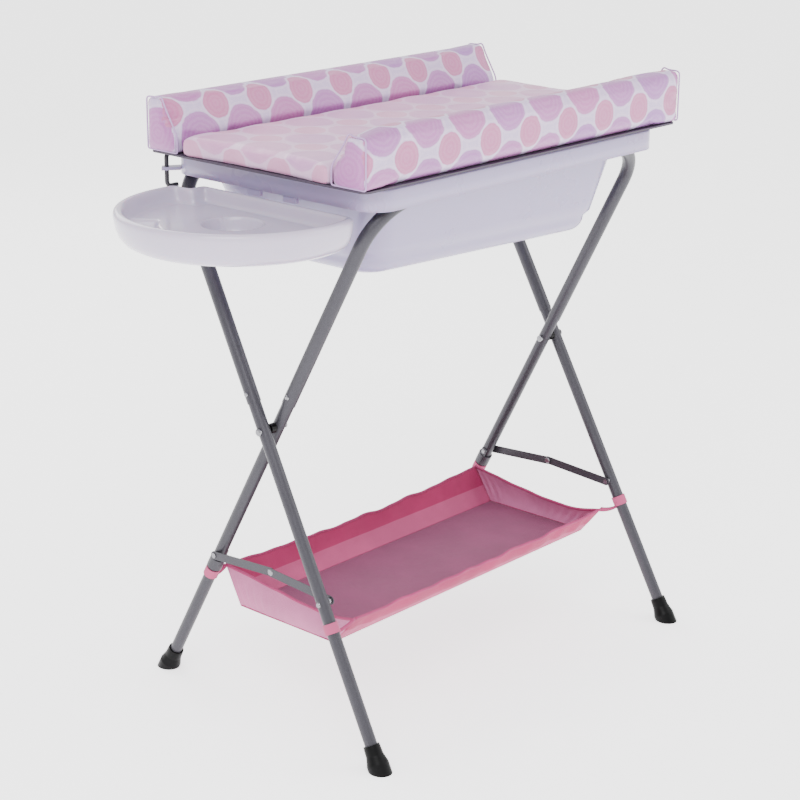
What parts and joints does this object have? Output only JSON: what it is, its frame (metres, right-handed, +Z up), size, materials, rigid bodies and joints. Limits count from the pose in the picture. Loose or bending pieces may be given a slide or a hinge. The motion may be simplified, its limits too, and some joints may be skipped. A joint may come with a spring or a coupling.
{
  "type": "changing table",
  "caption": "Folding baby changing table: crossed steel tube frame, moulded bath with a toiletries tray, hinged padded top with side bolsters and a fabric basket below.",
  "frame": {"origin": "on the floor, under the middle of the whole table's box", "axes": "+Z up; X along the table, with the tray at -X; Y across it, with the near side at -Y and the pad's hinge at +Y"},
  "size_m": [0.9856, 0.5536, 0.9833],
  "materials": {
    "painted_steel": "silver-grey powder coat with a soft sheen",
    "bare_steel": "plated fasteners",
    "dark_steel": "dark wire rod",
    "black_plastic": "black moulded plastic",
    "boot_rubber": "black moulded rubber, slightly glossy",
    "bumper_rubber": "pale rubber",
    "bath_plastic": "milky translucent plastic with a lavender tint",
    "tray_plastic": "glossy white plastic",
    "drain_plastic": "white plastic",
    "board_plastic": "pale board",
    "printed_vinyl": "wipe-clean coated cloth printed with rows of dots",
    "basket_cloth": "pink woven nylon",
    "basket_pale_cloth": "pale pink woven nylon",
    "basket_base_cloth": "mauve woven nylon"
  },
  "bodies": {
    "crossing": {"crossing_bolts": "bare_steel", "crossing_nuts": "bare_steel", "crossing_spacers": "black_plastic"},
    "outer_frame": {"outer_upper_tube": "painted_steel", "outer_leg_left": "painted_steel", "outer_leg_right": "painted_steel", "near_foot_left": "boot_rubber", "near_foot_right": "boot_rubber", "outer_joint_screws": "bare_steel", "near_basket_loops": "basket_cloth", "near_brace_rivets": "bare_steel"},
    "inner_frame": {"inner_upper_tube": "painted_steel", "inner_leg_left": "painted_steel", "inner_leg_right": "painted_steel", "far_foot_left": "boot_rubber", "far_foot_right": "boot_rubber", "inner_joint_screws": "bare_steel", "far_basket_loops": "basket_cloth", "far_brace_rivets": "bare_steel", "far_brace_collars": "painted_steel"},
    "near_links": {"near_link_left": "painted_steel", "near_link_right": "painted_steel", "near_link_rivet_heads": "bare_steel"},
    "far_links": {"far_link_left": "painted_steel", "far_link_right": "painted_steel", "far_link_rivet_heads": "bare_steel"},
    "bath": {"tub": "bath_plastic", "drain_ring": "drain_plastic", "tray": "tray_plastic", "tray_hangers": "bath_plastic", "rim_saddles": "bath_plastic", "pad_hinge_rods": "dark_steel", "rod_lugs": "bath_plastic"},
    "plug": {"drain_plug": "drain_plastic"},
    "changing_pad": {"pad_board": "board_plastic", "mat_cushion": "printed_vinyl", "near_bolster": "printed_vinyl", "far_bolster": "printed_vinyl", "pad_bumpers": "bumper_rubber", "pad_hinge_knuckles": "board_plastic"},
    "basket": {"basket_floor": "basket_base_cloth", "basket_near_wall": "basket_cloth", "basket_far_wall": "basket_cloth", "basket_left_end": "basket_cloth", "basket_right_end": "basket_pale_cloth", "basket_straps": "basket_cloth"}
  },
  "joints": [
    {"name": "outer_fold", "type": "hinge", "parent": "crossing", "child": "outer_frame", "pos_m": [0.0972, 0, 0.4843], "axis": [1, 0, 0], "range_deg": [0, 24]},
    {"name": "inner_fold", "type": "hinge", "parent": "crossing", "child": "inner_frame", "pos_m": [0.0972, 0, 0.4843], "axis": [1, 0, 0], "range_deg": [-24, 0]},
    {"name": "near_link_fold", "type": "hinge", "parent": "outer_frame", "child": "near_links", "pos_m": [0.0972, -0.13067, 0.23802], "axis": [1, 0, 0], "range_deg": [0, 54]},
    {"name": "far_link_fold", "type": "hinge", "parent": "inner_frame", "child": "far_links", "pos_m": [0.0972, 0.13067, 0.23802], "axis": [1, 0, 0], "range_deg": [-54, 0]},
    {"name": "bath_lift", "type": "slide", "parent": "crossing", "child": "bath", "axis": [0, 0, 1], "range_m": [0, 0.64]},
    {"name": "basket_fold", "type": "slide", "parent": "crossing", "child": "basket", "axis": [0, 0, -1], "range_m": [0, 0.0355], "deforming": ["basket_floor", "basket_near_wall", "basket_far_wall", "basket_left_end", "basket_right_end", "basket_straps"]},
    {"name": "pad_hinge", "type": "hinge", "parent": "bath", "child": "changing_pad", "pos_m": [0.0972, 0.217, 0.884], "axis": [-1, 0, 0], "range_deg": [0, 95]},
    {"name": "plug_lift", "type": "slide", "parent": "bath", "child": "plug", "axis": [0, 0, 1], "range_m": [0, 0.04]}
  ],
  "couplings": [
    {"joint": "inner_fold", "follows": "outer_fold", "ratio": -1},
    {"joint": "near_link_fold", "follows": "outer_fold", "ratio": 2.25},
    {"joint": "far_link_fold", "follows": "outer_fold", "ratio": -2.25},
    {"joint": "bath_lift", "follows": "outer_fold", "m_per_rad": 1.5279},
    {"joint": "basket_fold", "follows": "outer_fold", "m_per_rad": 0.08474}
  ]
}
